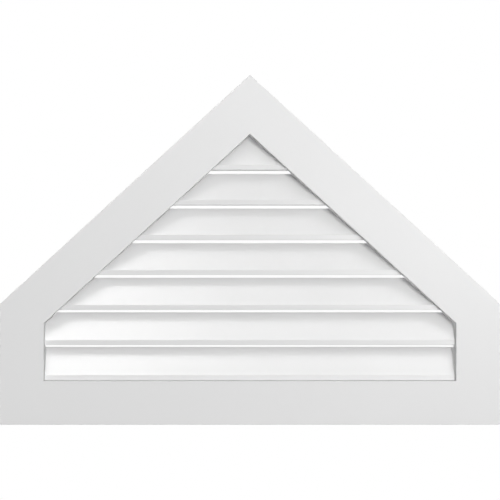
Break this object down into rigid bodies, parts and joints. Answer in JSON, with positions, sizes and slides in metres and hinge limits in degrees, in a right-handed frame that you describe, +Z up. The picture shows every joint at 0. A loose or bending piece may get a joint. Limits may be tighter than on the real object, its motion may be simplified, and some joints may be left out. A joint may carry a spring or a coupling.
{
  "type": "gable vent",
  "caption": "Peaked surface-mount gable vent: mitred flat trim, a box that stands in the wall, and bevelled louvres with air slots between them.",
  "frame": {"origin": "middle of the bottom edge, on the plane where the trim's back meets the wall", "axes": "+X to the right seen from outside, +Y into the wall, +Z up; the front faces -Y"},
  "size_m": [1.016, 0.0508, 0.7112],
  "materials": {
    "trim_pvc": "satin white cellular PVC, square edges slightly eased",
    "louvre_pvc": "satin white cellular PVC, planed face",
    "box_pvc": "matt white cellular PVC, sawn edges"
  },
  "bodies": {
    "root": {"bottom_rail": "trim_pvc", "right_stile": "trim_pvc", "left_stile": "trim_pvc", "right_rake": "trim_pvc", "left_rake": "trim_pvc", "box_sill": "box_pvc", "box_right_side": "box_pvc", "box_left_side": "box_pvc", "box_right_rake": "box_pvc", "box_left_rake": "box_pvc", "louvre_1": "louvre_pvc", "louvre_2": "louvre_pvc", "louvre_3": "louvre_pvc", "louvre_4": "louvre_pvc", "louvre_5": "louvre_pvc", "louvre_6": "louvre_pvc", "louvre_7": "louvre_pvc"}
  },
  "joints": []
}
